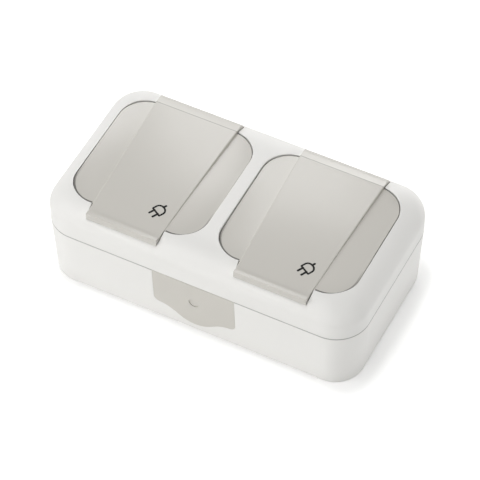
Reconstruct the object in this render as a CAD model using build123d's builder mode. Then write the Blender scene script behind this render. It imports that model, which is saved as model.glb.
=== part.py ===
from build123d import *
import os
from math import acos, atan, degrees, hypot, sqrt

# Covered double socket, lying on its back: X along it, Y across it, +Z away from the wall.
# The origin is the middle of the back. The lids turn at +Y and have their finger tongues at -Y.

# Overall sizes
LENGTH = 150.0
WIDTH = 82.5
CORNER_R = 15.3
PARTING_Z = 31.8
TOP_Z = 49.6
SOCKET_PITCH = LENGTH / 2 - 5.0
SIDES = {"left": -SOCKET_PITCH / 2, "right": SOCKET_PITCH / 2}

# Back box
BOX_DRAFT = 1.5
BOX_WALL = 2.8
BOX_FLOOR = 2.5
FOOT_R = 0.8
REBATE_HIGH = 1.0
REBATE_DEEP = 1.3
SEAM_CHAMFER = 0.3
SEAM_GAP = 0.25
SEAM_DEEP = 0.6
SLOT_X = LENGTH / 2 - 30.0
SLOT_Y = WIDTH / 2 - 11.75
SLOT_LENGTH = 9.0
SLOT_R = 2.2
SLOT_COLLAR = 1.3

# Ring groove in the rim, for the rubber ring
GROOVE_INSET = 0.85
GROOVE_WIDTH = 1.2
GROOVE_DEPTH = 1.2
RING_GAP = 0.05

# Cable entry in the front wall
ENTRY_HALF = 19.6
ENTRY_SIDE_Z = 14.0
ENTRY_SHOULDER_Z = 11.0
ENTRY_MID = (9.6, 8.3)
ENTRY_LOW_Z = 4.3
ENTRY_CORNER = 2.8
ENTRY_GAP = 0.1
FLANGE_LAP = 2.0
FLANGE_THICK = 1.4
FLANGE_GAP = 0.15
FLANGE_SEAT = 0.05
GUIDE_THICK = 1.4
GUIDE_REACH = 2.6
ENTRY_ROOT = 0.5
DIMPLE_Z = 19.5
DIMPLE_R = 2.4
DIMPLE_DEPTH = 0.5

# Cover
SKIN = 2.4
WALL_TOP_Z = 39.0
SHOULDER = 14.0
POCKET_FLOOR_Z = 44.0
POCKET_PLATE = 2.2
POCKET_WALL = 1.8
POCKET_EDGE = 0.3

# Lip of the cover that reaches down inside the box, left out in front of the cable entry
LIP_GAP = 0.3
LIP_THICK = 1.2
LIP_REACH = 2.0
LIP_STEP = 1.5
LIP_CLEAR_HALF = 24.0

# Lids
LID_WIDTH = LENGTH / 2 - 11.8
LID_BACK_Y = WIDTH / 2 - 11.0
LID_FRONT_Y = 9.25 - WIDTH / 2
LID_R = 12.4
LID_GAP = 0.35
LID_BACK_GAP = 0.5
LID_SKIN = 2.0
LID_SKIRT = 1.8
LID_SKIRT_Z = 45.6
WING_SWING_GAP = 0.2
WING_RELIEF_X = (0, 2.3, 4.3, 5.8, 7.3, 8.3)
CROWN_Y = 12.0
CROWN_Z = 49.5
CROWN_SIDE_DROP = 0.8
CROWN_RY = 1075.0
BAND_BACK_HALF = 19.7
BAND_TIP_HALF = 16.8
BAND_BACK = (WIDTH / 2 - 11.45, 50.8)
BAND_TIP = (2.45 - WIDTH / 2, 48.5)
BAND_RISE = 0.45
BAND_EDGE = 0.35
TONGUE_LOW_Z = 46.5
TONGUE_GAP = 0.35
TIP_EDGE = 0.9
TIP_LIP = 1.6
TIP_LIP_DROP = 2.5

# Hinge
HINGE_Y = WIDTH / 2 - 8.55
HINGE_Z = 47.0
KNUCKLE_R = 3.5
KNUCKLE_HALF = 19.7
KNUCKLE_GAP = 0.3
PIN_R = 1.0
PIN_RUN = 0.07
PIN_SEAT = 0.02
TROUGH_FRONT = KNUCKLE_R - 0.2
TROUGH_BACK = KNUCKLE_R + 0.6
KNUCKLE_ROOT = 0.6
TROUGH_DEPTH = KNUCKLE_R + 0.7
EAR = 2.2
BAY_HALF = 2.8
BAY_R = 2.4

# Torsion spring
WIRE_R = 0.35
COIL_R = 1.6
COIL_TURNS = 3.25
COIL_PITCH = 1.1
LEG_SEAT_GAP = 0.1
LEG_REACH = 3.6

# Plug wells
WELL_R = 19.75
WELL_DEPTH = 17.5
WELL_WALL = 1.95
WELL_FLOOR = 2.4
WELL_FLANGE_R = WELL_R + 5.15
WELL_FLANGE = 1.2
WELL_GAP = 0.3
PIN_HALF_PITCH = 9.5
PIN_HOLE_R = 2.6
GUIDE_WIDTH = 5.4
GUIDE_DEPTH = 2.4
GUIDE_DROP = 2.0
WINDOW_WIDTH = 7.0
WINDOW_LOW_Z = 29.5
WINDOW_TOP_DROP = 3.0

# Lid seal
SEAL_INNER = WELL_R + 2.65
SEAL_OUTER = WELL_R + 4.95
SEAL_RIB = 1.2
SEAL_LIFT = 0.15
SEAL_THICK = 1.25
SEAL_GAP = 0.1
SEAL_GRIP = 0.9

# Contact blocks
BLOCK_LENGTH = 36.0
BLOCK_WIDTH = 36.0
BLOCK_R = 4.0
BLOCK_LOW_Z = 5.5
POST_R = 3.4
POST_X = 13.5
POST_Y = 13.5
CAVITY = 9.0
CAVITY_FLOOR = 2.0
BLOCK_SCREW_Z = 12.2
BLOCK_SCREW_LENGTH = 10.6

# Stamped strips
STRIP = 0.8
BUS_Y = 7.2
BUS_LOW_Z = 8.2
BUS_HIGH_Z = 14.0
LEAF_WIDTH = 6.0
LEAF_HALF_GAP = 2.25
LEAF_DROP = 2.8
STRIP_GAP = 0.3
CLIP_WIDTH = 5.6
CLIP_BULGE_R = WELL_R - 1.35
CLIP_BULGE_Z = 36.0
CLIP_KNEE_Z = 30.5
CLIP_END_R = WELL_R + 0.65
CLIP_END_Z = 40.2
CLIP_OUT = WELL_R + WELL_WALL + 0.5
BRACKET_WIDTH = 8.0
BRACKET_GAP = 0.1
LINK_Y = 13.5
LINK_WIDTH = 5.0
LINK_LAP = 4.0
TAB_WIDTH = 6.0

# Wire terminals
TERMINAL = 7.0
TERMINAL_X = 9.0
TERMINAL_LOW_Z = 14.3
TERMINAL_HIGH_Z = 22.4
WIRE_R_BORE = 1.8
WIRE_Z = 18.2
HOUSING_HALF = 13.4
HOUSING_FRONT_Y = -16.0
HOUSING_BACK_Y = 11.0
HOUSING_HIGH_Z = 23.0
TERMINAL_GAP = 0.2
WIRE_FUNNEL = 0.4

# Screws
SCREW_SEAT = 0.02
PILOT_LOW_Z = 1.0
BOSS_PILOT = 14.0
M3_R = 1.5
M3_HEAD_R = 2.9
M3_HEAD = 2.2
WELL_SCREW_HEAD = 1.4
SCREW_CLEAR = 0.25
HEAD_SUNK = 0.2
SCREW_SLOT = 0.8
COVER_SCREW_X = LENGTH / 2 - 16.5
COVER_SCREW_Y = WIDTH / 2 - 17.75
COVER_SCREW_LENGTH = 25.0
WELL_SCREW_LENGTH = 14.0
TERMINAL_HEAD_R = 2.4
TERMINAL_SCREW_LENGTH = 4.8
BOSS_R = 3.6
BOSS_TOP_Z = 30.0

# Sizes that follow from the ones above
DRAFT_ANGLE = degrees(atan(BOX_DRAFT / PARTING_Z))
LID_DEPTH = LID_BACK_Y - LID_FRONT_Y
LID_Y = (LID_BACK_Y + LID_FRONT_Y) / 2
POCKET_WIDTH = LID_WIDTH + 2 * LID_GAP
POCKET_DEPTH = LID_DEPTH + LID_GAP + LID_BACK_GAP
POCKET_Y = LID_Y + (LID_BACK_GAP - LID_GAP) / 2
PLATE_LOW_Z = POCKET_FLOOR_Z - POCKET_PLATE
RIM_Z = POCKET_FLOOR_Z + WELL_FLANGE
WELL_FLOOR_Z = RIM_Z - WELL_DEPTH
BLOCK_TOP_Z = WELL_FLOOR_Z - WELL_FLOOR
LEAF_TOP_Z = BLOCK_TOP_Z - LEAF_DROP
BRACKET_Z = BLOCK_TOP_Z - STRIP - BRACKET_GAP
LINK_Z = BRACKET_Z - STRIP
WELL_OUTER_R = WELL_R + WELL_WALL
FRONT_Y = -WIDTH / 2
COIL_LENGTH = COIL_PITCH * COIL_TURNS
HIGH = 30.0

os.makedirs("parts", exist_ok=True)


def save(shape, name):
    """Labels a finished piece and writes it under its own name."""
    shape.label = name
    export_step(shape, f"parts/{name}.step")


def save_pair(shape, name):
    """Writes one piece at each socket of the pair."""
    for side, x in SIDES.items():
        save(shape.moved(Location((x, 0, 0))), f"{name}_{side}")


def drafted_block(inset, low, high):
    """The back box's tapering outer form, inset all round and cut at two heights."""
    shrink = 2 * inset + 2 * BOX_DRAFT
    with BuildPart() as form:
        with BuildSketch():
            RectangleRounded(LENGTH - shrink, WIDTH - shrink, CORNER_R - inset - BOX_DRAFT)
        extrude(amount=PARTING_Z, taper=-DRAFT_ANGLE)
        with Locations((0, 0, low)):
            Box(LENGTH, WIDTH, high - low, align=(Align.CENTER, Align.CENTER, Align.MIN), mode=Mode.INTERSECT)
    return form.part


def rim_ring(inset, thick, low, high):
    """A rounded rectangular ring that follows the rim."""
    with BuildPart() as ring:
        with BuildSketch(Plane.XY.offset(low)):
            RectangleRounded(LENGTH - 2 * inset, WIDTH - 2 * inset, CORNER_R - inset)
            inner = inset + thick
            RectangleRounded(LENGTH - 2 * inner, WIDTH - 2 * inner, CORNER_R - inner, mode=Mode.SUBTRACT)
        extrude(amount=high - low)
    return ring.part


def entry_prism(grow, front, back):
    """The cable entry's outline, with its low hump, as a prism through the front wall."""
    half = ENTRY_HALF + grow
    corner = (ENTRY_HALF - ENTRY_CORNER, ENTRY_SHOULDER_Z - grow)
    with BuildPart() as prism:
        with BuildSketch(Plane.XZ.offset(-front)):
            with BuildLine():
                side = Line((half, PARTING_Z + HIGH), (half, ENTRY_SIDE_Z))
                turn = TangentArc(side @ 1, corner, tangent=(0, -1))
                Spline(
                    turn @ 1,
                    (ENTRY_MID[0], ENTRY_MID[1] - grow),
                    (0, ENTRY_LOW_Z - grow),
                    tangents=(turn % 1, (-1, 0)),
                )
                Line((0, ENTRY_LOW_Z - grow), (0, PARTING_Z + HIGH))
                Line((0, PARTING_Z + HIGH), side @ 0)
            make_face()
            mirror(about=Plane.YZ)
        extrude(amount=front - back)
    return prism.part


def cover_form(inset):
    """The cover's outer form: upright walls, then an elliptical shoulder up to a flat top."""
    half_length, half_width, radius = LENGTH / 2 - inset, WIDTH / 2 - inset, CORNER_R - inset
    rise, run = TOP_Z - WALL_TOP_Z - inset, SHOULDER - inset
    straight_x, straight_y = half_length - radius, half_width - radius
    with BuildPart(mode=Mode.PRIVATE) as corner:
        with BuildSketch(Plane.XZ) as section:
            with BuildLine():
                centre = (radius - run, WALL_TOP_Z)
                arc = EllipticalCenterArc(centre, run, rise, start_angle=0, arc_size=90)
                outside, above = radius + 1, WALL_TOP_Z + rise + 1
                Polyline(arc @ 0, (outside, WALL_TOP_Z), (outside, above), (radius - run, above), arc @ 1)
            make_face()
        revolve(axis=Axis.Z, revolution_arc=90)
    with BuildPart() as form:
        with BuildSketch(Plane.XY.offset(PARTING_Z)):
            RectangleRounded(2 * half_length, 2 * half_width, radius)
        extrude(amount=TOP_Z - inset - PARTING_Z)
        for turn, side, straight in ((0, straight_x, straight_y), (90, straight_y, straight_x)):
            for half_turn in (turn, turn + 180):
                placed = Location((0, 0, 0), (0, 0, half_turn)) * Location((side, straight, 0))
                edge = extrude(section.sketch, amount=2 * straight, mode=Mode.PRIVATE)
                add(edge.moved(placed), mode=Mode.SUBTRACT)
                add(corner.part.moved(placed), mode=Mode.SUBTRACT)
    return form.part


def pocket_form(grow, low):
    """Both lid pockets, from a floor height up past the cover."""
    with BuildPart() as form:
        with BuildSketch(Plane.XY.offset(low)):
            with Locations((SIDES["left"], POCKET_Y), (SIDES["right"], POCKET_Y)):
                RectangleRounded(POCKET_WIDTH + 2 * grow, POCKET_DEPTH + 2 * grow, LID_R + LID_GAP + grow)
        extrude(amount=HIGH)
    return form.part


def swing_radius(x):
    """Distance from the hinge line to the edge of the cover behind a lid's wing, at x along the lid."""
    corner_r = LID_R + LID_GAP
    into_corner = max(0, x - (POCKET_WIDTH / 2 - corner_r))
    edge_y = POCKET_Y + POCKET_DEPTH / 2 - corner_r + sqrt(corner_r**2 - into_corner**2)
    return hypot(edge_y - HINGE_Y, TOP_Z - POCKET_EDGE - HINGE_Z) + WING_SWING_GAP


def trough_form(grow):
    """Both hinge troughs behind the pockets, grown all round for their walls."""
    low = HINGE_Z - TROUGH_DEPTH - grow
    length = 2 * (KNUCKLE_HALF + KNUCKLE_GAP + grow)
    width = TROUGH_FRONT + TROUGH_BACK + 2 * grow
    middle = HINGE_Y + (TROUGH_BACK - TROUGH_FRONT) / 2
    with BuildPart() as form:
        with Locations((SIDES["left"], middle, low), (SIDES["right"], middle, low)):
            Box(length, width, HIGH, align=(Align.CENTER, Align.CENTER, Align.MIN))
    return form.part


def band_half(y):
    """Half the width of the lid's raised band at a distance across the lid."""
    share = (BAND_BACK[0] - y) / (BAND_BACK[0] - BAND_TIP[0])
    return BAND_BACK_HALF + (BAND_TIP_HALF - BAND_BACK_HALF) * share


def crown_form(drop):
    """All that lies under the lid's crowned top, or under a copy of it that much lower."""
    half, reach = LID_WIDTH / 2 + 2, 4
    top = CROWN_Z - drop
    side = top - CROWN_SIDE_DROP * (half / (LID_WIDTH / 2)) ** 2
    with BuildPart() as form:
        with BuildSketch(Plane.XZ.offset(-CROWN_Y)) as section:
            with BuildLine():
                ThreePointArc((-half, side), (0, top), (half, side))
                Polyline((half, side), (half, top - HIGH), (-half, top - HIGH), (-half, side))
            make_face()
        hub = Axis((0, CROWN_Y, CROWN_Z - CROWN_RY), (1, 0, 0))
        revolve(section.sketch, axis=hub, revolution_arc=reach)
        revolve(section.sketch, axis=hub, revolution_arc=-reach)
    return form.part


def bent_strip(points, thick, width, side):
    """A strip of sheet that follows points in the YZ plane, thickened to one side."""
    with BuildPart() as strip:
        with BuildSketch(Plane.YZ):
            with BuildLine():
                Polyline(*points)
                offset(amount=thick, side=side)
            make_face()
        extrude(amount=width / 2, both=True)
    return strip.part


def screw(top, length, radius, head_r, head):
    """A slotted cheese-head screw that hangs down from its head's top face."""
    with BuildPart() as body:
        with BuildSketch(Plane.XY.offset(top)):
            Circle(head_r)
        extrude(amount=-head)
        with BuildSketch(Plane.XY.offset(top - head)):
            Circle(radius)
        extrude(amount=head - length)
        with Locations((0, 0, top)):
            Box(2 * head_r, SCREW_SLOT, head, mode=Mode.SUBTRACT)
        chamfer(body.edges().sort_by(Axis.Z)[0], 0.3 * radius)
    return body.part


# Back box
boss_spots = [(x, y) for x in (-COVER_SCREW_X, COVER_SCREW_X) for y in (-COVER_SCREW_Y, COVER_SCREW_Y)]
slot_spots = [(x, y) for x in (-SLOT_X, SLOT_X) for y in (-SLOT_Y, SLOT_Y)]
post_spots = [
    (SIDES["left"] - POST_X, POST_Y),
    (SIDES["left"] + POST_X, -POST_Y),
    (SIDES["right"] + POST_X, POST_Y),
    (SIDES["right"] - POST_X, -POST_Y),
]
inner_y = FRONT_Y + BOX_DRAFT + BOX_WALL
with BuildPart() as back_box:
    add(drafted_block(0, 0, PARTING_Z))
    foot_edges = back_box.faces().sort_by(Axis.Z)[0].edges()
    fillet(foot_edges, FOOT_R)
    seam_edges = back_box.faces().sort_by(Axis.Z)[-1].edges()
    chamfer(seam_edges, SEAM_CHAMFER)
    rebate_x = LENGTH - 2 * (CORNER_R + BOX_DRAFT)
    rebate_y = WIDTH - 2 * (CORNER_R + BOX_DRAFT)
    deep = 2 * (REBATE_DEEP + BOX_DRAFT)
    with Locations((0, -WIDTH / 2), (0, WIDTH / 2)):
        Box(rebate_x, deep, 2 * REBATE_HIGH, mode=Mode.SUBTRACT)
    with Locations((-LENGTH / 2, 0), (LENGTH / 2, 0)):
        Box(deep, rebate_y, 2 * REBATE_HIGH, mode=Mode.SUBTRACT)
    add(drafted_block(BOX_WALL, BOX_FLOOR, PARTING_Z), mode=Mode.SUBTRACT)
    with BuildSketch(Plane.XY.offset(BOX_FLOOR)):
        with Locations(*boss_spots):
            Circle(BOSS_R)
    extrude(amount=BOSS_TOP_Z - BOX_FLOOR)
    with BuildSketch(Plane.XY.offset(BOX_FLOOR)):
        with Locations(*post_spots):
            Circle(POST_R)
    extrude(amount=BLOCK_LOW_Z - BOX_FLOOR)
    with BuildSketch(Plane.XY.offset(BOX_FLOOR)):
        with Locations(*slot_spots):
            SlotOverall(SLOT_LENGTH + 2 * SLOT_COLLAR, 2 * (SLOT_R + SLOT_COLLAR))
    extrude(amount=SLOT_COLLAR)
    with BuildSketch(Plane.XY.offset(BOX_FLOOR)):
        guide_x = ENTRY_HALF + FLANGE_LAP + FLANGE_GAP + GUIDE_THICK / 2
        with Locations((-guide_x, inner_y), (guide_x, inner_y)):
            Rectangle(GUIDE_THICK, 2 * GUIDE_REACH)
    extrude(amount=PARTING_Z - BOX_FLOOR - GUIDE_REACH)
    with BuildSketch(Plane.XY.offset(BOSS_TOP_Z)):
        with Locations(*boss_spots):
            Circle(M3_R + SCREW_SEAT)
    extrude(amount=-BOSS_PILOT, mode=Mode.SUBTRACT)
    with BuildSketch(Plane.XY.offset(BLOCK_LOW_Z)):
        with Locations(*post_spots):
            Circle(M3_R + SCREW_SEAT)
    extrude(amount=PILOT_LOW_Z - BLOCK_LOW_Z, mode=Mode.SUBTRACT)
    with BuildSketch(Plane.XY.offset(BOX_FLOOR + SLOT_COLLAR)):
        with Locations(*slot_spots):
            SlotOverall(SLOT_LENGTH, 2 * SLOT_R)
    extrude(amount=-(BOX_FLOOR + SLOT_COLLAR), mode=Mode.SUBTRACT)
    add(entry_prism(0, FRONT_Y - 1, inner_y + ENTRY_ROOT), mode=Mode.SUBTRACT)
    add(rim_ring(GROOVE_INSET, GROOVE_WIDTH, PARTING_Z - GROOVE_DEPTH, PARTING_Z), mode=Mode.SUBTRACT)
save(back_box.part, "back_box")

# Cable entry insert: a piece of the front wall, and behind it a wider flange that overlaps the wall
entry_back = FRONT_Y + 3 * BOX_WALL
with BuildPart() as entry_insert:
    add(drafted_block(0, 0, PARTING_Z))
    chamfer(entry_insert.faces().sort_by(Axis.Z)[-1].edges(), SEAM_CHAMFER)
    add(drafted_block(BOX_WALL + FLANGE_THICK, 0, PARTING_Z), mode=Mode.SUBTRACT)
    add(entry_prism(-ENTRY_GAP, FRONT_Y - 1, entry_back), mode=Mode.INTERSECT)
with BuildPart() as entry_flange:
    add(drafted_block(BOX_WALL + FLANGE_SEAT, BOX_FLOOR, PARTING_Z))
    add(drafted_block(BOX_WALL + FLANGE_THICK, BOX_FLOOR, PARTING_Z), mode=Mode.SUBTRACT)
    add(entry_prism(FLANGE_LAP, FRONT_Y - 1, entry_back), mode=Mode.INTERSECT)
    add(entry_insert.part)
    add(rim_ring(GROOVE_INSET, GROOVE_WIDTH, PARTING_Z - GROOVE_DEPTH, PARTING_Z), mode=Mode.SUBTRACT)
    with Locations(Location((0, FRONT_Y, DIMPLE_Z), (90, 0, 0))):
        Cylinder(DIMPLE_R, 2 * (DIMPLE_DEPTH + BOX_DRAFT * (1 - DIMPLE_Z / PARTING_Z)), mode=Mode.SUBTRACT)
save(entry_flange.part, "entry_insert")

# Rubber ring between the two halves
ring_thick = GROOVE_WIDTH - 2 * RING_GAP
save(rim_ring(GROOVE_INSET + RING_GAP, ring_thick, PARTING_Z - GROOVE_DEPTH, PARTING_Z), "rim_gasket")

# Cover
with BuildPart() as hollow:
    add(cover_form(SKIN))
    add(pocket_form(POCKET_WALL, PLATE_LOW_Z), mode=Mode.SUBTRACT)
    add(trough_form(POCKET_WALL), mode=Mode.SUBTRACT)
    with BuildSketch(Plane.XY.offset(BOSS_TOP_Z)):
        with Locations(*boss_spots):
            Circle(BOSS_R)
    extrude(amount=HIGH, mode=Mode.SUBTRACT)
with BuildPart() as cover_frame:
    add(cover_form(0))
    add(rim_ring(-SEAM_DEEP, 2 * SEAM_DEEP, PARTING_Z, PARTING_Z + SEAM_GAP), mode=Mode.SUBTRACT)
    add(hollow.part, mode=Mode.SUBTRACT)
    lip_inset = BOX_WALL + LIP_GAP
    step_thick = lip_inset + LIP_THICK - SKIN + LIP_GAP
    add(rim_ring(SKIN - LIP_GAP, step_thick, PARTING_Z, PARTING_Z + LIP_STEP))
    add(rim_ring(lip_inset, LIP_THICK, PARTING_Z - LIP_REACH, PARTING_Z))
    with Locations((0, FRONT_Y + SKIN, PARTING_Z)):
        align = (Align.CENTER, Align.MIN, Align.CENTER)
        Box(2 * LIP_CLEAR_HALF, CORNER_R, 2 * LIP_STEP + 2 * LIP_REACH, align=align, mode=Mode.SUBTRACT)
    add(pocket_form(0, POCKET_FLOOR_Z), mode=Mode.SUBTRACT)
    with BuildSketch(Plane.XY.offset(TOP_Z - POCKET_EDGE)):
        with Locations((SIDES["left"], POCKET_Y), (SIDES["right"], POCKET_Y)):
            RectangleRounded(POCKET_WIDTH, POCKET_DEPTH, LID_R + LID_GAP)
    extrude(amount=POCKET_EDGE, taper=-45, mode=Mode.SUBTRACT)
    add(trough_form(0), mode=Mode.SUBTRACT)
    with BuildSketch(Plane.XY.offset(TONGUE_LOW_Z - TONGUE_GAP)):
        for x in SIDES.values():
            front = FRONT_Y - 1
            near, far = band_half(front) + TONGUE_GAP, band_half(LID_FRONT_Y) + TONGUE_GAP
            with Locations((x, 0)):
                Polygon((-far, LID_FRONT_Y), (-near, front), (near, front), (far, LID_FRONT_Y), align=None)
    extrude(amount=HIGH, mode=Mode.SUBTRACT)
    with BuildSketch(Plane.XY.offset(PLATE_LOW_Z)):
        with GridLocations(SOCKET_PITCH, 0, 2, 1):
            Circle(WELL_OUTER_R + WELL_GAP)
    extrude(amount=HIGH, mode=Mode.SUBTRACT)
    with Locations(*[(x, y, POCKET_FLOOR_Z) for x, y in boss_spots]):
        CounterBoreHole(M3_R + SCREW_CLEAR, M3_HEAD_R + SCREW_CLEAR, M3_HEAD + HEAD_SUNK, depth=HIGH)
    for x in SIDES.values():
        with Locations(Location((x, HINGE_Y, HINGE_Z), (0, 90, 0))):
            Cylinder(PIN_R + PIN_SEAT, 2 * (KNUCKLE_HALF + KNUCKLE_GAP + EAR), mode=Mode.SUBTRACT)
save(cover_frame.part, "cover_frame")

# Path of the torsion spring's wire, drawn upright, and the line of the hinge along which it is laid
with BuildLine() as coil:
    turns = Helix(COIL_PITCH, COIL_LENGTH, COIL_R)
    Line(turns @ 0 - (turns % 0) * (TROUGH_DEPTH - 2 * LEG_SEAT_GAP), turns @ 0)
    Line(turns @ 1, turns @ 1 + (turns % 1) * (LEG_REACH - LEG_SEAT_GAP))
hinge_line = Plane(origin=(-COIL_LENGTH / 2, HINGE_Y, HINGE_Z), x_dir=(0, 1, 0), z_dir=(1, 0, 0))

# Lid: a crowned shell, a raised band that runs out as the tongue, and the hinge knuckle
seat_z = RIM_Z + SEAL_LIFT + SEAL_THICK
rib_low_z = seat_z - SEAL_GRIP
with BuildPart() as lid_hollow:
    with BuildSketch(Plane.XY.offset(LID_SKIRT_Z - 1)):
        with Locations((0, LID_Y)):
            RectangleRounded(LID_WIDTH - 2 * LID_SKIRT, LID_DEPTH - 2 * LID_SKIRT, LID_R - LID_SKIRT)
    extrude(amount=HIGH)
    add(crown_form(LID_SKIN), mode=Mode.INTERSECT)
    with BuildSketch(Plane.XY.offset(seat_z)):
        Circle(SEAL_OUTER + SEAL_GAP + SEAL_RIB)
        Circle(SEAL_INNER - SEAL_GAP - SEAL_RIB, mode=Mode.SUBTRACT)
    extrude(amount=HIGH, mode=Mode.SUBTRACT)
    for inner in (SEAL_OUTER + SEAL_GAP, SEAL_INNER - SEAL_GAP - SEAL_RIB):
        with BuildSketch(Plane.XY.offset(rib_low_z)):
            Circle(inner + SEAL_RIB)
            Circle(inner, mode=Mode.SUBTRACT)
        extrude(amount=HIGH, mode=Mode.SUBTRACT)

back_y, back_z = BAND_BACK
tip_y, tip_z = BAND_TIP
with BuildPart() as band:
    with BuildSketch(Plane.XY.offset(TONGUE_LOW_Z)):
        back_half, tip_half = band_half(back_y), band_half(tip_y)
        Polygon((-back_half, back_y), (-tip_half, tip_y), (tip_half, tip_y), (back_half, back_y), align=None)
    extrude(amount=HIGH)
    with BuildSketch(Plane.YZ):
        with BuildLine():
            ThreePointArc(BAND_BACK, ((back_y + tip_y) / 2, (back_z + tip_z) / 2 + BAND_RISE), BAND_TIP)
            Polyline(BAND_TIP, (tip_y, TONGUE_LOW_Z), (back_y, TONGUE_LOW_Z), BAND_BACK)
        make_face()
    extrude(amount=LID_WIDTH, both=True, mode=Mode.INTERSECT)
    fillet(band.faces().sort_by(Axis.Z)[-1].edges().filter_by(Axis.X, reverse=True), BAND_EDGE)
    fillet(band.edges().filter_by(Axis.X).group_by(Axis.Y)[0].sort_by(Axis.Z)[-1], TIP_EDGE)

with BuildPart() as tip_lip:
    with Locations((0, tip_y, TONGUE_LOW_Z)):
        Box(2 * tip_half, TIP_LIP, 2 * TIP_LIP_DROP, align=(Align.CENTER, Align.MIN, Align.CENTER))
    add(cover_form(-TONGUE_GAP), mode=Mode.SUBTRACT)

crease = Vector(*BAND_BACK)
hinge = Vector(HINGE_Y, HINGE_Z)
lean = crease - hinge
touch = hinge + lean.normalized().rotate(Axis.Z, -degrees(acos(KNUCKLE_R / lean.length))) * KNUCKLE_R
with BuildPart() as knuckle:
    root_y = LID_BACK_Y - LID_SKIRT
    with BuildSketch(Plane.YZ):
        with Locations(hinge):
            Circle(KNUCKLE_R)
        Polygon(
            BAND_BACK, (touch.X, touch.Y), (HINGE_Y, HINGE_Z),
            (root_y, LID_SKIRT_Z), (root_y, back_z - KNUCKLE_ROOT), align=None,
        )
    extrude(amount=KNUCKLE_HALF, both=True)

# The wings' back edge is cut back where it would meet the cover as the lid swings up
with BuildPart() as wing_relief:
    with BuildSketch(Plane(origin=(0, HINGE_Y, HINGE_Z), z_dir=(0, 0, 1))):
        with BuildLine():
            relief_x = [KNUCKLE_HALF + x for x in WING_RELIEF_X]
            outer = Polyline(*[(x, -swing_radius(x)) for x in relief_x])
            Polyline(outer @ 1, (relief_x[-1], 0), (relief_x[0], 0), outer @ 0)
        make_face()
    revolve(axis=Axis((0, HINGE_Y, HINGE_Z), (1, 0, 0)))
    mirror(about=Plane.YZ)

with BuildPart() as lid:
    with BuildSketch(Plane.XY.offset(LID_SKIRT_Z)):
        with Locations((0, LID_Y)):
            RectangleRounded(LID_WIDTH, LID_DEPTH, LID_R)
    extrude(amount=HIGH)
    add(crown_form(0), mode=Mode.INTERSECT)
    add(band.part)
    add(tip_lip.part)
    add(knuckle.part)
    add(lid_hollow.part, mode=Mode.SUBTRACT)
    add(wing_relief.part, mode=Mode.SUBTRACT)
    with Locations(Location((0, HINGE_Y, HINGE_Z), (0, 90, 0))):
        Cylinder(PIN_R + PIN_RUN, LID_WIDTH, mode=Mode.SUBTRACT)
        Cylinder(BAY_R, 2 * BAY_HALF, mode=Mode.SUBTRACT)
    with Locations((0, HINGE_Y, HINGE_Z)):
        Box(2 * BAY_HALF, 2 * BAY_R, HIGH, align=(Align.CENTER, Align.CENTER, Align.MAX), mode=Mode.SUBTRACT)
    with Locations(hinge_line.location * Plane(origin=turns @ 1, z_dir=turns % 1).location):
        leg_hole = WIRE_R + LEG_SEAT_GAP
        Cylinder(leg_hole, LEG_REACH, align=(Align.CENTER, Align.CENTER, Align.MIN), mode=Mode.SUBTRACT)
save_pair(lid.part, "lid")

# Rubber ring under each lid
with BuildPart() as lid_seal:
    with BuildSketch(Plane.XY.offset(RIM_Z + SEAL_LIFT)):
        Circle(SEAL_OUTER)
        Circle(SEAL_INNER, mode=Mode.SUBTRACT)
    extrude(amount=SEAL_THICK)
save_pair(lid_seal.part, "lid_seal")

# Hinge pin
with BuildPart() as hinge_pin:
    with Locations(Location((0, HINGE_Y, HINGE_Z), (0, 90, 0))):
        Cylinder(PIN_R, 2 * (KNUCKLE_HALF + KNUCKLE_GAP + EAR - PIN_SEAT))
save_pair(hinge_pin.part, "hinge_pin")

# Torsion spring: the coil turns about the pin, one leg stands on the trough floor and one holds the lid
with BuildPart() as lid_spring:
    with BuildSketch(Plane(origin=coil.line @ 0, z_dir=coil.line % 0)):
        Circle(WIRE_R)
    sweep(path=coil.line)
save_pair(lid_spring.part.moved(hinge_line.location), "lid_spring")

# Plug well
with BuildPart() as socket_well:
    with BuildSketch(Plane.XY.offset(POCKET_FLOOR_Z)):
        Circle(WELL_FLANGE_R)
    extrude(amount=WELL_FLANGE)
    with BuildSketch(Plane.XY.offset(BLOCK_TOP_Z)):
        Circle(WELL_OUTER_R)
    extrude(amount=RIM_Z - BLOCK_TOP_Z)
    with BuildSketch(Plane.XY.offset(WELL_FLOOR_Z)):
        Circle(WELL_R)
    extrude(amount=HIGH, mode=Mode.SUBTRACT)
    with BuildSketch(Plane.XY.offset(WELL_FLOOR_Z)):
        guide = GUIDE_DEPTH + WELL_WALL / 2
        guide_x = WELL_R - GUIDE_DEPTH + guide / 2
        with Locations((-guide_x, 0), (guide_x, 0)):
            Rectangle(guide, GUIDE_WIDTH)
    extrude(amount=WELL_DEPTH - GUIDE_DROP)
    with BuildSketch(Plane.XY.offset(BLOCK_TOP_Z)):
        with Locations((-PIN_HALF_PITCH, 0), (PIN_HALF_PITCH, 0)):
            Circle(PIN_HOLE_R)
    extrude(amount=WELL_FLOOR, mode=Mode.SUBTRACT)
    with Locations((0, 0, WELL_FLOOR_Z)):
        CounterSinkHole(M3_R + SCREW_CLEAR, M3_HEAD_R + SCREW_CLEAR, depth=HIGH)
    for y in (-WELL_R, WELL_R):
        with Locations((0, y, WINDOW_LOW_Z)):
            window = RIM_Z - WINDOW_TOP_DROP - WINDOW_LOW_Z
            align = (Align.CENTER, Align.CENTER, Align.MIN)
            Box(WINDOW_WIDTH, 4 * WELL_WALL, window, align=align, mode=Mode.SUBTRACT)
save_pair(socket_well.part, "socket_well")

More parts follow.
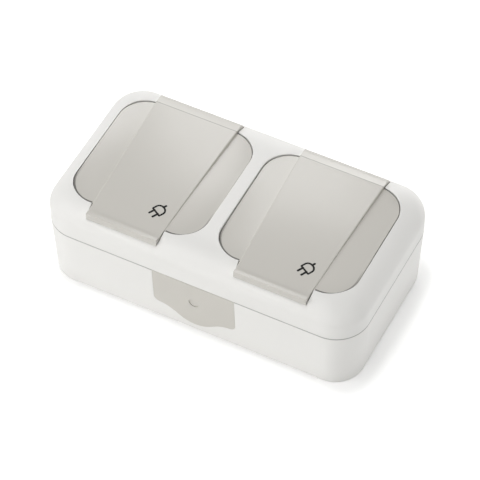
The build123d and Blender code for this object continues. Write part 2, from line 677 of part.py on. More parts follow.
# Contact block under each well, with a cavity for each pin contact
with BuildPart() as contact_block:
    with BuildSketch(Plane.XY.offset(BLOCK_LOW_Z)):
        RectangleRounded(BLOCK_LENGTH, BLOCK_WIDTH, BLOCK_R)
    extrude(amount=BLOCK_TOP_Z - BLOCK_LOW_Z)
    with BuildSketch(Plane.XY.offset(BLOCK_TOP_Z)):
        with Locations((-PIN_HALF_PITCH, 0), (PIN_HALF_PITCH, 0)):
            Rectangle(CAVITY, CAVITY)
    extrude(amount=BLOCK_LOW_Z + CAVITY_FLOOR - BLOCK_TOP_Z, mode=Mode.SUBTRACT)
    with BuildSketch(Plane.XY.offset(BLOCK_LOW_Z)):
        with Locations((0, -BUS_Y), (0, BUS_Y)):
            Rectangle(BLOCK_LENGTH, STRIP + 2 * STRIP_GAP)
    extrude(amount=BUS_HIGH_Z + STRIP_GAP - BLOCK_LOW_Z, mode=Mode.SUBTRACT)
    with BuildSketch(Plane.XY.offset(BUS_LOW_Z - STRIP_GAP)):
        with Locations((-PIN_HALF_PITCH, -BUS_Y / 2), (PIN_HALF_PITCH, BUS_Y / 2)):
            Rectangle(LEAF_WIDTH + 2 * STRIP_GAP, BUS_Y)
    extrude(amount=STRIP + 2 * STRIP_GAP, mode=Mode.SUBTRACT)
    with BuildSketch(Plane.XY.offset(BRACKET_Z)):
        Rectangle(BRACKET_WIDTH + 2 * STRIP_GAP, BLOCK_WIDTH)
    extrude(amount=HIGH, mode=Mode.SUBTRACT)
    with BuildSketch(Plane.XY.offset(LINK_Z)):
        with Locations((0, LINK_Y)):
            Rectangle(BLOCK_LENGTH, LINK_WIDTH + 2 * STRIP_GAP)
    extrude(amount=HIGH, mode=Mode.SUBTRACT)
    with BuildSketch(Plane.XY.offset(BLOCK_TOP_Z)):
        Circle(M3_R + SCREW_SEAT)
    extrude(amount=-WELL_SCREW_LENGTH, mode=Mode.SUBTRACT)
    with Locations((0, 0, BLOCK_TOP_Z)), GridLocations(2 * POST_X, 2 * POST_Y, 2, 2):
        seat = BLOCK_TOP_Z - BLOCK_SCREW_Z + M3_HEAD
        CounterBoreHole(M3_R + SCREW_CLEAR, M3_HEAD_R + SCREW_CLEAR, seat, depth=HIGH)
save_pair(contact_block.part, "contact_block")

# Earth bracket: a base strip under the well and two sprung arms that reach into it
with BuildPart() as earth_clip:
    arm_top = BRACKET_Z + STRIP
    lower = [(0, arm_top), (CLIP_OUT, arm_top), (CLIP_OUT, CLIP_KNEE_Z)]
    upper = [(CLIP_BULGE_R, CLIP_BULGE_Z), (CLIP_END_R, CLIP_END_Z)]
    add(bent_strip(lower + upper, STRIP, CLIP_WIDTH, Side.RIGHT))
    mirror(about=Plane.XZ)
    with Locations((0, 0, BRACKET_Z)):
        Box(BRACKET_WIDTH, BLOCK_WIDTH, STRIP, align=(Align.CENTER, Align.CENTER, Align.MIN))
        Cylinder(M3_R + SCREW_CLEAR, 4 * STRIP, mode=Mode.SUBTRACT)
save_pair(earth_clip.part, "earth_clip")

# Earth link between the two brackets, with a tab down to its terminal
with BuildPart() as earth_link:
    with Locations((0, LINK_Y, LINK_Z)):
        Box(SOCKET_PITCH + 2 * LINK_LAP, LINK_WIDTH, STRIP, align=(Align.CENTER, Align.CENTER, Align.MIN))
    with Locations((0, LINK_Y - LINK_WIDTH / 2, LINK_Z)):
        Box(TAB_WIDTH, STRIP, LINK_Z - TERMINAL_LOW_Z, align=(Align.CENTER, Align.MIN, Align.MAX))
save(earth_link.part, "earth_link")


def contact_bus(contact_x, terminal_x):
    """A strip that joins one pin contact of each socket, and has a tab for its terminal."""
    leaf_low = BUS_LOW_Z + STRIP
    flare = LEAF_HALF_GAP + STRIP
    with BuildPart() as bus:
        with Locations((contact_x, BUS_Y, BUS_LOW_Z)):
            align = (Align.CENTER, Align.CENTER, Align.MIN)
            Box(SOCKET_PITCH + LEAF_WIDTH, STRIP, BUS_HIGH_Z - BUS_LOW_Z, align=align)
        with Locations((terminal_x, BUS_Y, BUS_HIGH_Z)):
            Box(TAB_WIDTH, STRIP, WIRE_Z - BUS_HIGH_Z, align=align)
        for x in SIDES.values():
            leaf = bent_strip(
                [(flare, LEAF_TOP_Z), (LEAF_HALF_GAP, LEAF_TOP_Z - 2 * STRIP), (LEAF_HALF_GAP, leaf_low),
                 (-LEAF_HALF_GAP, leaf_low), (-LEAF_HALF_GAP, LEAF_TOP_Z - 2 * STRIP), (-flare, LEAF_TOP_Z)],
                STRIP, LEAF_WIDTH, Side.LEFT,
            )
            add(leaf.moved(Location((x + contact_x, 0, 0))))
            with Locations((x + contact_x, 0, BUS_LOW_Z)):
                Box(LEAF_WIDTH, BUS_Y, STRIP, align=(Align.CENTER, Align.MIN, Align.MIN))
    return bus.part


save(contact_bus(PIN_HALF_PITCH, -TERMINAL_X), "live_bus")
save(contact_bus(PIN_HALF_PITCH, -TERMINAL_X).rotate(Axis.Z, 180), "neutral_bus")

# Pillar terminals: each has a wire bore along Y and a screw from above
terminal_spots = {
    "live": (-TERMINAL_X, BUS_Y - STRIP / 2),
    "neutral": (TERMINAL_X, -BUS_Y - STRIP / 2),
    "earth": (0, LINK_Y - LINK_WIDTH / 2),
}
for name, (x, back) in terminal_spots.items():
    with BuildPart() as terminal:
        with Locations((x, back, TERMINAL_LOW_Z)):
            height = TERMINAL_HIGH_Z - TERMINAL_LOW_Z
            Box(TERMINAL, TERMINAL, height, align=(Align.CENTER, Align.MAX, Align.MIN))
        with Locations(Location((x, back, WIRE_Z), (90, 0, 0))):
            Cylinder(WIRE_R_BORE, 3 * TERMINAL, mode=Mode.SUBTRACT)
        with Locations((x, back - TERMINAL / 2, TERMINAL_HIGH_Z)):
            Cylinder(M3_R + SCREW_SEAT, 2 * (TERMINAL_HIGH_Z - WIRE_Z), mode=Mode.SUBTRACT)
    save(terminal.part, f"terminal_{name}")

# Carrier of the terminals, open above them and in front for the wires
with BuildPart() as terminal_housing:
    with BuildSketch(Plane.XY.offset(BOX_FLOOR)):
        with Locations((0, (HOUSING_FRONT_Y + HOUSING_BACK_Y) / 2)):
            Rectangle(2 * HOUSING_HALF, HOUSING_BACK_Y - HOUSING_FRONT_Y)
    extrude(amount=HOUSING_HIGH_Z - BOX_FLOOR)
    with BuildSketch(Plane.XY.offset(BOX_FLOOR)):
        with Locations((0, -BUS_Y), (0, BUS_Y)):
            Rectangle(2 * HOUSING_HALF, STRIP + 2 * STRIP_GAP)
    extrude(amount=BUS_HIGH_Z + STRIP_GAP - BOX_FLOOR, mode=Mode.SUBTRACT)
    for x, back in terminal_spots.values():
        with Locations((x, back + STRIP + STRIP_GAP, TERMINAL_LOW_Z)):
            depth = TERMINAL + STRIP + 2 * STRIP_GAP
            align = (Align.CENTER, Align.MAX, Align.MIN)
            Box(TERMINAL + 2 * TERMINAL_GAP, depth, HIGH, align=align, mode=Mode.SUBTRACT)
        with Locations(Location((x, back - TERMINAL, WIRE_Z), (90, 0, 0))):
            align = (Align.CENTER, Align.CENTER, Align.MIN)
            Cylinder(WIRE_R_BORE + WIRE_FUNNEL, HIGH, align=align, mode=Mode.SUBTRACT)
save(terminal_housing.part, "terminal_housing")


def screw_group(spots, top, length, head_r, name):
    """Like screws at several places, kept together as one group of separate solids."""
    one = screw(top, length, M3_R, head_r, M3_HEAD)
    save(Compound(children=[one.moved(Location((x, y, 0))) for x, y in spots]), name)


screw_spots = [(x, back - TERMINAL / 2) for x, back in terminal_spots.values()]
screw_top = TERMINAL_HIGH_Z + M3_HEAD
screw_group(screw_spots, screw_top, TERMINAL_SCREW_LENGTH, TERMINAL_HEAD_R, "terminal_screws")
screw_group(post_spots, BLOCK_SCREW_Z, BLOCK_SCREW_LENGTH, M3_HEAD_R, "block_screws")
screw_group(boss_spots, POCKET_FLOOR_Z - HEAD_SUNK, COVER_SCREW_LENGTH, M3_HEAD_R, "cover_screws")

# Countersunk centre screws of the wells
with BuildPart() as well_screw:
    with BuildSketch(Plane.XY.offset(WELL_FLOOR_Z)):
        Circle(M3_HEAD_R)
    extrude(amount=-WELL_SCREW_HEAD, taper=45)
    with BuildSketch(Plane.XY.offset(WELL_FLOOR_Z - WELL_SCREW_HEAD / 2)):
        Circle(M3_R)
    extrude(amount=-WELL_SCREW_LENGTH)
    with Locations((0, 0, WELL_FLOOR_Z)):
        Box(2 * M3_HEAD_R, SCREW_SLOT, WELL_SCREW_HEAD, mode=Mode.SUBTRACT)
save(Compound(children=[well_screw.part.moved(Location((x, 0, 0))) for x in SIDES.values()]), "well_screws")
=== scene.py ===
"""Looks of a covered double socket, lying on its back: white housing, pearl grey lids, white studio."""

from math import cos, pi, radians, sin

import bpy
import numpy as np
from mathutils import Matrix, Vector


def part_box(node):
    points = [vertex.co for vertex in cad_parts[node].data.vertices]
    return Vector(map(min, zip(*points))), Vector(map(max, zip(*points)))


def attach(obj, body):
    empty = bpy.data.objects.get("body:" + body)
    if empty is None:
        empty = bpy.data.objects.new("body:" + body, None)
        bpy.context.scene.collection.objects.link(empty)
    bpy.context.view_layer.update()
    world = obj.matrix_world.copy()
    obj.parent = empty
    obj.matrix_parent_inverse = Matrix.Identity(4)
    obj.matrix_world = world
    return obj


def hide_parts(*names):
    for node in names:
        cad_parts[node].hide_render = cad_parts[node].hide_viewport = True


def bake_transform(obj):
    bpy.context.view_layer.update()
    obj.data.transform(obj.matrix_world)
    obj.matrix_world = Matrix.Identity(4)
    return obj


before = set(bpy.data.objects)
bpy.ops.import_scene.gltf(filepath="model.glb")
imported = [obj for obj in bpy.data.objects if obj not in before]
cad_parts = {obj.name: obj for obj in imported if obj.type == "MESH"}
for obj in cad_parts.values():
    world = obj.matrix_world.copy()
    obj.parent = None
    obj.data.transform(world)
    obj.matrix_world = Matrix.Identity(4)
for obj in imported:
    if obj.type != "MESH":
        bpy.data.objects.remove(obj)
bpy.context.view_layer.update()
MM = 0.001
SOCKET_X = {"left": -35 * MM, "right": 35 * MM}


def linear(hex_colour):
    """An sRGB hex colour as linear red, green, blue and full alpha."""
    parts = [int(hex_colour[i : i + 2], 16) / 255 for i in (0, 2, 4)]
    return [p / 12.92 if p <= 0.04045 else ((p + 0.055) / 1.055) ** 2.4 for p in parts] + [1.0]


def add_node(tree, kind, inputs=None, **settings):
    """Adds a node, makes its settings, and links or sets each of its inputs by name or number."""
    made = tree.nodes.new(kind)
    for name, value in settings.items():
        setattr(made, name, value)
    for name, value in (inputs or {}).items():
        if isinstance(value, bpy.types.NodeSocket):
            tree.links.new(value, made.inputs[name])
        else:
            made.inputs[name].default_value = value
    return made


def start_material(name, **plain):
    """A material with its shader's plain values set, and the point on the piece that its patterns use."""
    material = bpy.data.materials.new(name)
    material.use_nodes = True
    tree = material.node_tree
    shader = tree.nodes["Principled BSDF"]
    for socket, value in plain.items():
        shader.inputs[socket.replace("_", " ")].default_value = value
    place = add_node(tree, "ShaderNodeTexCoord").outputs["Object"]
    return material, tree, shader, place


def tone_and_gloss(tree, shader, pattern, light, dark, roughness, swing):
    """Lets a pattern from 0 to 1 drive the colour from light to dark, and the roughness by swing each way."""
    tones = {"Fac": pattern, "Color1": linear(light), "Color2": linear(dark)}
    colour = add_node(tree, "ShaderNodeMixRGB", tones).outputs["Color"]
    tree.links.new(colour, shader.inputs["Base Color"])
    reach = {"Value": pattern, "To Min": roughness - swing, "To Max": roughness + swing}
    gloss = add_node(tree, "ShaderNodeMapRange", reach).outputs["Result"]
    tree.links.new(gloss, shader.inputs["Roughness"])


def moulded(name, light, dark, roughness, grain_mm, depth_mm, cloud_mm, **plain):
    """A moulded plastic: two near tones in slow clouds, a gloss that varies with them, and the mould's grain.

    The cloud is the slight unevenness of colour and gloss that the melt's flow leaves. The grain is the
    mould's own texture, drawn coarser than its real 0.05 mm so that it just shows.
    """
    material, tree, shader, place = start_material(name, **plain)
    slow = {"Vector": place, "Scale": 1 / (cloud_mm * MM), "Detail": 2.0}
    cloud = add_node(tree, "ShaderNodeTexNoise", slow).outputs["Fac"]
    tone_and_gloss(tree, shader, cloud, light, dark, roughness, swing=0.02)
    fine = {"Vector": place, "Scale": 1 / (grain_mm * MM), "Detail": 3.0}
    grain = add_node(tree, "ShaderNodeTexNoise", fine).outputs["Fac"]
    relief = {"Height": grain, "Distance": depth_mm * MM, "Strength": 1.0}
    normal = add_node(tree, "ShaderNodeBump", relief).outputs["Normal"]
    tree.links.new(normal, shader.inputs["Normal"])
    return material


def worked_metal(name, light, dark, roughness, stretch_mm, **plain):
    """A metal with streaks: noise stretched along the way that the metal was rolled, drawn or turned."""
    material, tree, shader, place = start_material(name, Metallic=1.0, **plain)
    stretch = {"Vector": place, "Scale": [1 / (length * MM) for length in stretch_mm]}
    along = add_node(tree, "ShaderNodeMapping", stretch).outputs["Vector"]
    fine = {"Vector": along, "Scale": 1.0, "Detail": 4.0, "Roughness": 0.6}
    streak = add_node(tree, "ShaderNodeTexNoise", fine).outputs["Fac"]
    tone_and_gloss(tree, shader, streak, light, dark, roughness, swing=0.08)
    return material


def darken(material, name, share, colour):
    """Mixes a colour over a material's own, as much as share says."""
    tree = material.node_tree
    base = tree.nodes["Principled BSDF"].inputs["Base Color"]
    mixed = {"Fac": share, "Color1": base.links[0].from_socket, "Color2": linear(colour)}
    line = add_node(tree, "ShaderNodeMixRGB", mixed, name=name)
    tree.links.new(line.outputs["Color"], base)


def painted_shade_line(material, name, axis, middle, half_mm, fade_mm, colour, strength, above=None):
    """Darkens a material in a thin straight line: full within half_mm of a plane, gone fade_mm further out.

    It is painted shade: the shade in a groove, seam or crease that is finer than a pixel. Where above is
    given, the line shows only higher than that.
    """
    tree = material.node_tree
    place = add_node(tree, "ShaderNodeTexCoord").outputs["Object"]
    parts = add_node(tree, "ShaderNodeSeparateXYZ", {"Vector": place}).outputs
    off = add_node(tree, "ShaderNodeMath", {0: parts[axis], 1: middle}, operation="SUBTRACT").outputs[0]
    away = add_node(tree, "ShaderNodeMath", {0: off}, operation="ABSOLUTE").outputs[0]
    end, full = (half_mm + fade_mm) * MM, half_mm * MM
    near = {"Value": away, "From Min": end, "From Max": full, "To Max": strength}
    share = add_node(tree, "ShaderNodeMapRange", near).outputs["Result"]
    if above is not None:
        height = {0: parts["Z"], 1: above}
        high = add_node(tree, "ShaderNodeMath", height, operation="GREATER_THAN").outputs[0]
        share = add_node(tree, "ShaderNodeMath", {0: share, 1: high}, operation="MULTIPLY").outputs[0]
    darken(material, name, share, colour)


# The lids' wings: half their width, how far their front edge is from the middle, and their corners' radius
WING_HALF, WING_FRONT, WING_R = 31.6 * MM, 32.0 * MM, 12.4 * MM
# The painted shade shows beside the tongue, outside this half width, and on faces that look up at least this
# much
BESIDE_TONGUE, UPWARD = 17.6 * MM, 0.15
# It grows from nothing to full between these two Y, round the corner
RIM_START, RIM_FULL = 1.5 * WING_R - WING_FRONT, 0.4 * WING_R - WING_FRONT


def painted_gap_shade(material, name, width_mm, fade_mm, colour, strength):
    """Paints shade on the rim on top of the lids' wings, round their two front corners, for the gap to the
    cover.

    Both lids are folded onto one: X's size less the socket's X, and the size of that. The rim is where the
    distance from the corner's middle, counted only outwards along X and Y, comes within width_mm of the
    corner's radius.
    """
    tree = material.node_tree
    point = add_node(tree, "ShaderNodeTexCoord").outputs
    place, facing = point["Object"], point["Normal"]
    folded = add_node(tree, "ShaderNodeVectorMath", {0: place}, operation="ABSOLUTE").outputs[0]
    socket = {0: folded, 1: (SOCKET_X["right"], 0, 0)}
    shifted = add_node(tree, "ShaderNodeVectorMath", socket, operation="SUBTRACT").outputs[0]
    own = add_node(tree, "ShaderNodeVectorMath", {0: shifted}, operation="ABSOLUTE").outputs[0]
    corner = {0: own, 1: (WING_HALF - WING_R, WING_FRONT - WING_R, 1.0)}
    past = add_node(tree, "ShaderNodeVectorMath", corner, operation="SUBTRACT").outputs[0]
    outwards = add_node(tree, "ShaderNodeVectorMath", {0: past}, operation="MAXIMUM").outputs[0]
    far = add_node(tree, "ShaderNodeVectorMath", {0: outwards}, operation="LENGTH").outputs["Value"]
    rim = WING_R - width_mm * MM
    near = {"Value": far, "From Min": rim - fade_mm * MM, "From Max": rim, "To Max": strength}
    share = add_node(tree, "ShaderNodeMapRange", near).outputs["Result"]
    y = add_node(tree, "ShaderNodeSeparateXYZ", {"Vector": place}).outputs["Y"]
    x = add_node(tree, "ShaderNodeSeparateXYZ", {"Vector": own}).outputs["X"]
    z = add_node(tree, "ShaderNodeSeparateXYZ", {"Vector": facing}).outputs["Z"]
    grow = {"Value": y, "From Min": RIM_START, "From Max": RIM_FULL}
    front = add_node(tree, "ShaderNodeMapRange", grow).outputs["Result"]
    beside = add_node(tree, "ShaderNodeMath", {0: x, 1: BESIDE_TONGUE}, operation="GREATER_THAN").outputs[0]
    on_top = add_node(tree, "ShaderNodeMath", {0: z, 1: UPWARD}, operation="GREATER_THAN").outputs[0]
    for limit in (front, beside, on_top):
        share = add_node(tree, "ShaderNodeMath", {0: share, 1: limit}, operation="MULTIPLY").outputs[0]
    darken(material, name, share, colour)


# Each finish: name, lighter and darker tone and roughness, then in mm the grain's size and depth and the
# clouds' size, or for a metal the streaks' length along X, Y and Z
# ABS, injection moulded in a finely eroded mould: an even satin white
white_abs = moulded("white_ABS_satin_moulded", "EEEDEA", "EBEAE7", 0.42, 0.5, 0.002, 30)
# ABS, injection moulded in a polished mould and self-coloured pearl grey: soft gloss that fades down the lid
pearl_abs = moulded("pearl_grey_ABS_polished_mould", "CDCAC3", "CAC7C0", 0.14, 0.5, 0.0012, 25)
# Polypropylene, matt moulded: the push-in entry plate, a shade duller than the lids
entry_pp = moulded("light_grey_polypropylene_matt", "CFCCC5", "CCC9C2", 0.55, 0.6, 0.003, 20)
# Polycarbonate, gloss moulded: the wells' inner plastic, cleaner and harder looking than the housing
well_pc = moulded("white_polycarbonate_gloss_moulded", "E6E6E2", "E2E2DE", 0.28, 0.5, 0.001, 15)
# Urea resin, compression moulded with filler: dull grey with a slight mottle
urea = moulded("grey_urea_compression_moulded", "9B9C9A", "8C8D8B", 0.6, 0.4, 0.006, 4)
# EPDM rubber, moulded: black, dry and matt, with the faint bloom of fillers
rubber = moulded("black_EPDM_rubber_moulded", "222324", "2C2D2E", 0.75, 0.5, 0.008, 6, Specular_IOR_Level=0.3)
# Brass strip, rolled and stamped: warm yellow with streaks along the strip
brass = worked_metal("brass_rolled_and_stamped", "D9B667", "C79F52", 0.3, (12, 0.5, 0.5))
# Spring wire, cold drawn stainless steel: bright with fine draw lines
spring_wire = worked_metal("stainless_spring_wire_drawn", "C4C6C8", "A9ABAD", 0.25, (0.3, 0.3, 0.3))
# Steel, zinc plated and passivated: pale with a cool blotchy bloom
zinc = worked_metal("steel_zinc_plated", "C9CCD0", "AEB2B8", 0.32, (1.5, 1.5, 1.5))
# Pad printing ink: flat black, slightly proud and drier than the lid
ink = moulded("black_pad_printing_ink", "0C0C0A", "100F0D", 0.6, 0.3, 0.001, 3, Specular_IOR_Level=0.25)

# The seam between the housing's halves: a painted shade line in the gap over the box's rim
seam_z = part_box("back_box")[1][2] - 0.02 * MM
painted_shade_line(white_abs, "seam", "Z", seam_z, half_mm=0.22, fade_mm=0.12, colour="6B6A66", strength=0.62)
# Painted shade: a dark hair line on top where each lid's flat band ends and its hinge barrel begins, for the
# shade in the crease there
BARREL_Y, BARREL_LOW_Z = 29.8 * MM, 50.2 * MM
painted_shade_line(pearl_abs, "barrel_line", "Y", BARREL_Y, 0.12, 0.15, "7A776F", 0.6, above=BARREL_LOW_Z)
# Painted shade round the wings' front corners, for the gap which the cover's edge all but hides
painted_gap_shade(pearl_abs, "wing_edge", width_mm=0.65, fade_mm=0.2, colour="3A3936", strength=0.8)

# The finish of each CAD node, by the start of its name; the longest start that fits holds
FINISH = {
    "back_box": white_abs,
    "cover_frame": white_abs,
    "lid_": pearl_abs,
    "lid_seal": rubber,
    "lid_spring": spring_wire,
    "rim_gasket": rubber,
    "entry_insert": entry_pp,
    "socket_well": well_pc,
    "contact_block": urea,
    "terminal_housing": urea,
    "terminal_": brass,
    "terminal_screws": zinc,
    "earth_": brass,
    "live_bus": brass,
    "neutral_bus": brass,
    "hinge_pin": zinc,
    "block_screws": zinc,
    "cover_screws": zinc,
    "well_screws": zinc,
}
for name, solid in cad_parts.items():
    start = max((key for key in FINISH if name.startswith(key)), key=len)
    for slot in solid.material_slots:
        slot.material = FINISH[start]

# Plug sign printed on each lid, in millimetres. Its place is from the socket's middle, and its own sizes are
# along and across the plug from the middle of the plug's face.
SIGN_AT = (9.4, -24.85)
SIGN_TURN = radians(59.5)
OUTLINE_WIDTH = 0.88
STEM_WIDTH = 1.05
BODY_HALF = 2.5
BODY_STRAIGHT = 1.9
BODY_DOME = 2.1
DOME_POINTS = 41
PRONG_ACROSS = 1.3
PRONG_REACH = 2.45
CORD_ACROSS, CORD_FROM, CORD_TO = -0.3, 4.0, 5.2
OUTLINE_STEP, STEM_STEP = 0.1, 0.15
# Each printed line's profile, from edge to edge: where across its half width, and how high
INK_PROUD = 0.03
INK_ACROSS = np.array([-1.0, -0.9, -0.5, 0.0, 0.5, 0.9, 1.0])
INK_HIGH = np.array([-0.5, 0.8, 1.0, 1.0, 1.0, 0.8, -0.5]) * INK_PROUD
# Points in each round end, and the least that the square of its width's share shrinks to
CAP_POINTS = 8
THINNEST = 1e-4
# The smallest triangle that counts, in square metres, and how far outside one a spot still counts, as a share
LEAST_AREA = 1e-14
SLACK = 1e-6


def run_between(a, b, step):
    """Evenly spaced points from a to b, both ends included."""
    count = max(2, int(np.hypot(*np.subtract(b, a)) / step) + 1)
    return np.array(a) + np.linspace(0, 1, count)[:, None] * np.subtract(b, a)


def plug_body():
    """The plug's closed outline: a straight face and sides, then half an ellipse as its dome."""
    turn = np.linspace(0, pi, DOME_POINTS)
    dome = np.stack([BODY_STRAIGHT + BODY_DOME * np.sin(turn), BODY_HALF * np.cos(turn)], 1)
    corners = [(BODY_STRAIGHT, -BODY_HALF), (0, -BODY_HALF), (0, BODY_HALF), (BODY_STRAIGHT, BODY_HALF)]
    runs = [run_between(a, b, OUTLINE_STEP)[1:] for a, b in zip(corners, corners[1:])]
    return np.concatenate([dome, *runs])[:-1]


def printed_line(path, width, closed):
    """A flat ribbon of ink along a path: at each point, a low arch across the line from edge to edge.

    The ribbon's edge lies beside the path at half the width along its normal. An open line's ends are half
    circles: there the half width shrinks as the root of one minus the square of the way past the end.
    """
    if closed:
        half = np.full(len(path), width / 2)
        along = np.roll(path, -1, 0) - np.roll(path, 1, 0)
    else:
        first, last = path[0] - path[1], path[-1] - path[-2]
        first, last = first / np.hypot(*first), last / np.hypot(*last)
        past = np.sin(np.linspace(0, 1, CAP_POINTS + 1) * pi / 2)[1:, None] * width / 2
        path = np.concatenate([path[0] + first * past[::-1], path, path[-1] + last * past])
        half = np.full(len(path), width / 2)
        cap = width / 2 * np.sqrt(np.clip(1 - (past[:, 0] * 2 / width) ** 2, THINNEST, 1))
        half[:CAP_POINTS], half[-CAP_POINTS:] = cap[::-1], cap
        along = np.gradient(path, axis=0)
    along /= np.hypot(*along.T)[:, None]
    normal = np.stack([-along[:, 1], along[:, 0]], 1)
    spots = path[:, None] + normal[:, None] * (half[:, None] * INK_ACROSS)[:, :, None]
    return spots, np.broadcast_to(INK_HIGH, spots.shape[:2])


def grid_faces(rows, columns, closed, first):
    """Quads of a grid of points, row by row, joined round where the rows close."""
    r = np.arange(rows if closed else rows - 1)[:, None]
    c = np.arange(columns - 1)[None]
    a, b = r * columns + c, (r + 1) % rows * columns + c
    return (np.stack([a, b, b + 1, a + 1], -1).reshape(-1, 4) + first)[:, ::-1]


def add_piece(name, points, faces, finish):
    """A mesh of points and faces as an object at the origin, in one finish."""
    mesh = bpy.data.meshes.new(name)
    mesh.from_pydata(points.tolist(), [], faces.tolist())
    mesh.materials.append(finish)
    piece = bpy.data.objects.new(name, mesh)
    bpy.context.scene.collection.objects.link(piece)
    return piece


def read_mesh(node):
    """A CAD node's points, and the numbers of the three corners of each of its triangles."""
    mesh = node.data
    points = np.empty(3 * len(mesh.vertices))
    mesh.vertices.foreach_get("co", points)
    corners = np.empty(len(mesh.loops), int)
    mesh.loops.foreach_get("vertex_index", corners)
    return points.reshape(-1, 3), corners.reshape(-1, 3)


def cross(u, v):
    """Twice the area, seen from above, of the triangle between two edges."""
    return u[..., 0] * v[..., 1] - u[..., 1] * v[..., 0]


def top_height(node, spots):
    """How high a node's top lies at each spot: the highest of the upward triangles that the spot falls in.

    Seen from above, the spot is a triangle's first corner plus shares of its two edges from there. It falls
    in where neither share is below 0 nor their sum above 1, and the same shares of the edges' rise give the
    height.
    """
    points, corners = read_mesh(node)
    trio = points[corners]
    near = (trio[..., :2].max(1) >= spots.min(0)) & (trio[..., :2].min(1) <= spots.max(0))
    facing_up = cross(trio[:, 1] - trio[:, 0], trio[:, 2] - trio[:, 0]) > LEAST_AREA
    first, second, third = np.moveaxis(trio[near.all(1) & facing_up], 1, 0)
    b, c = second - first, third - first
    way = spots[:, None] - first[:, :2]
    share_b, share_c = cross(way, c) / cross(b, c), cross(b, way) / cross(b, c)
    inside = (share_b >= -SLACK) & (share_c >= -SLACK) & (share_b + share_c <= 1 + SLACK)
    high = first[:, 2] + share_b * b[:, 2] + share_c * c[:, 2]
    return np.where(inside, high, -np.inf).max(1)


def plug_sign(side):
    """The printed plug on one lid: its lines laid on the lid's own surface."""
    prongs = [((0, across), (-PRONG_REACH, across)) for across in (PRONG_ACROSS, -PRONG_ACROSS)]
    stems = [*prongs, ((CORD_FROM, CORD_ACROSS), (CORD_TO, CORD_ACROSS))]
    lines = [(plug_body(), OUTLINE_WIDTH, True)]
    lines += [(run_between(a, b, STEM_STEP), STEM_WIDTH, False) for a, b in stems]
    points, faces, count = [], [], 0
    for path, width, closed in lines:
        spots, high = printed_line(path, width, closed)
        u, v = spots[..., 0], spots[..., 1]
        x = (SIGN_AT[0] + u * cos(SIGN_TURN) + v * sin(SIGN_TURN)) * MM + SOCKET_X[side]
        y = (SIGN_AT[1] + u * sin(SIGN_TURN) - v * cos(SIGN_TURN)) * MM
        points.append(np.stack([x, y, high * MM], -1).reshape(-1, 3))
        faces.append(grid_faces(spots.shape[0], spots.shape[1], closed, count))
        count += x.size
    points, faces = np.concatenate(points), np.concatenate(faces)
    points[:, 2] += top_height(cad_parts[f"lid_{side}"], points[:, :2])
    sign = add_piece(f"plug_sign_{side}", points, faces, ink)
    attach(sign, f"{side}_lid")


# The sharpest bend that is shaded smooth, and the decimals of a metre to which shared corners agree
SMOOTH_BEND = radians(40)
SAME_CORNER = 8


def winding_spring(side):
    """A lid's torsion spring, as a smooth shaded copy of its CAD node, which it hides.

    The surface is the CAD solid's own, with the corners that its loose triangles share made one.
    """
    points, corners = read_mesh(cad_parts[f"lid_spring_{side}"])
    places, shared = np.unique(points.round(SAME_CORNER), axis=0, return_inverse=True)
    faces = shared.reshape(-1)[corners]
    spring = add_piece(f"winding_spring_{side}", places, faces, spring_wire)
    spring.data.polygons.foreach_set("use_smooth", np.ones(len(faces), bool))
    spring.data.set_sharp_from_angle(angle=SMOOTH_BEND)
    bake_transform(spring)
    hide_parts(f"lid_spring_{side}")


for side in SOCKET_X:
    plug_sign(side)
    winding_spring(side)


def seen_directly(tree):
    """1 where the eye, a mirror or glass looks at something, and 0 where it only lights other things."""
    ray = add_node(tree, "ShaderNodeLightPath").outputs
    looks = {0: ray["Is Camera Ray"], 1: ray["Is Glossy Ray"]}
    seen = add_node(tree, "ShaderNodeMath", looks, operation="MAXIMUM").outputs[0]
    through = {0: seen, 1: ray["Is Transmission Ray"]}
    return add_node(tree, "ShaderNodeMath", through, operation="MAXIMUM").outputs[0]


# Studio floor, painted matt white. It clips to white where it is fully lit, so that only the shadow by the
# object shows. The lift that it gets for the eye grows to full white further off, past the lamps' reach.
# It lies a hair under the object, so that the two don't share a plane.
FLOOR_HALF, FLOOR_SINK = 3.0, 0.05 * MM
FLOOR_LIFT = 0.37
NEAR_FLOOR, FAR_FLOOR = 0.22, 0.9
paint, tree, shader, place = start_material("studio_floor_white_paper", Roughness=0.9)
shader.inputs["Base Color"].default_value = linear("F6F6F5")
shader.inputs["Emission Color"].default_value = (1, 1, 1, 1)
reach = add_node(tree, "ShaderNodeVectorMath", {0: place}, operation="LENGTH").outputs["Value"]
growth = {"Value": reach, "From Min": NEAR_FLOOR, "From Max": FAR_FLOOR, "To Min": FLOOR_LIFT, "To Max": 1.0}
full = add_node(tree, "ShaderNodeMapRange", growth).outputs["Result"]
lift = add_node(tree, "ShaderNodeMath", {0: seen_directly(tree), 1: full}, operation="MULTIPLY").outputs[0]
tree.links.new(lift, shader.inputs["Emission Strength"])
edge = FLOOR_HALF * np.array([[-1, -1, 0], [1, -1, 0], [1, 1, 0], [-1, 1, 0]]) - [0, 0, FLOOR_SINK]
floor = add_piece("floor", edge, np.array([[0, 1, 2, 3]]), paint)

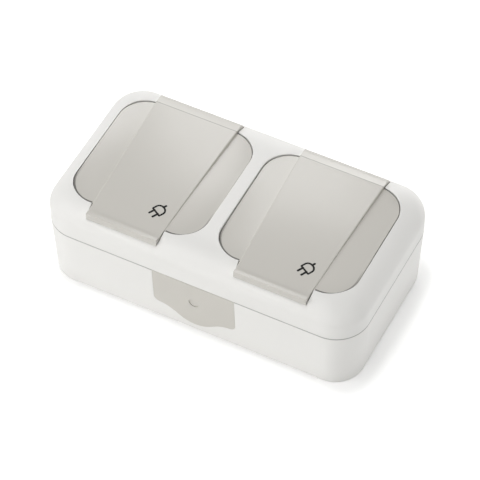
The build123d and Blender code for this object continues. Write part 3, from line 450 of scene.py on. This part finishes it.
# Softboxes: place and aim in metres, size in metres, power in watts
LAMPS = {
    "front_grazing": ((-0.038, -1.086, 0.172), (0, 0, 0.02), (0.9, 0.2), 4.0),
    "front_left": ((-0.478, -0.569, 0.669), (0, 0, 0.02), (0.6, 0.6), 2.88),
    "right_rear": ((0.956, 0.509, 0.191), (0, 0, 0.02), (0.5, 0.2), 3.6),
    "back_rim": ((-0.335, 1.903, 0.518), (0, 0, 0.04), (2.0, 0.6), 6.88),
    "top": ((-0.085, 0.03, 1.2), (0, 0, 0), (0.18, 0.18), 4.4),
    "sheen_left": ((-1.082, 1.436, 1.59), (0, 0, 0.05), (0.3, 0.42), 1.66),
    "sheen_middle": ((-0.77, 1.512, 1.697), (0, 0, 0.05), (0.3, 0.75), 2.9),
    "sheen_right": ((-0.545, 1.784, 1.51), (0, 0, 0.05), (0.3, 0.25), 1.4),
    "back_fill": ((-1.113, 1.927, 0.899), (0, 0, 0.05), (2.4, 1.1), 10.0),
}
# Lamps with no mirror image of their own: it would blow out the glossy lids seen from low down or from above
FILL_ONLY = ("front_grazing", "right_rear", "back_rim", "top")
for name, (at, aim, size, power) in LAMPS.items():
    lamp = bpy.data.lights.new(name, "AREA")
    lamp.shape = "RECTANGLE"
    lamp.size, lamp.size_y = size
    lamp.energy = power
    light = bpy.data.objects.new(name, lamp)
    light.visible_glossy = name not in FILL_ONLY
    light.location = at
    light.rotation_euler = (Vector(aim) - Vector(at)).to_track_quat("-Z", "Y").to_euler()
    bpy.context.scene.collection.objects.link(light)

# The room: plain white round the object, and full white where it is seen
ROOM = 0.12
world = bpy.data.worlds.new("white_room")
bpy.context.scene.world = world
world.use_nodes = True
tree = world.node_tree
back = tree.nodes["Background"]
back.inputs["Color"].default_value = (1, 1, 1, 1)
white = {"Value": seen_directly(tree), "To Min": ROOM, "To Max": 1.0}
strength = add_node(tree, "ShaderNodeMapRange", white).outputs["Result"]
tree.links.new(strength, back.inputs["Strength"])

# Camera: azimuth, elevation and roll in degrees, distance and offsets in millimetres, pixels per millimetre
AZIMUTH, ELEVATION, ROLL = radians(27.603), radians(50.376), radians(-0.662)
DISTANCE, OFF_X, OFF_Y, SCALE, MIDDLE_Z = 1193.1, -1.19, 4.597, 2.3176, 25.0
IMAGE, SENSOR = 480, 36.0
back_way = Vector((sin(AZIMUTH) * cos(ELEVATION), -cos(AZIMUTH) * cos(ELEVATION), sin(ELEVATION)))
level = Vector((cos(AZIMUTH), sin(AZIMUTH), 0))
rise = back_way.cross(level)
right = cos(ROLL) * level + sin(ROLL) * rise
up = cos(ROLL) * rise - sin(ROLL) * level
eye = (Vector((0, 0, MIDDLE_Z)) + back_way * DISTANCE - right * OFF_X - up * OFF_Y) * MM
lens = bpy.data.cameras.new("camera")
lens.sensor_width = SENSOR
lens.lens = SCALE * DISTANCE / IMAGE * SENSOR
lens.clip_start, lens.clip_end = 0.1, 20.0
camera = bpy.data.objects.new("camera", lens)
camera.matrix_world = Matrix.Translation(eye) @ Matrix((right, up, back_way)).transposed().to_4x4()
bpy.context.scene.collection.objects.link(camera)
bpy.context.scene.camera = camera
bpy.context.scene.view_settings.view_transform = "Standard"
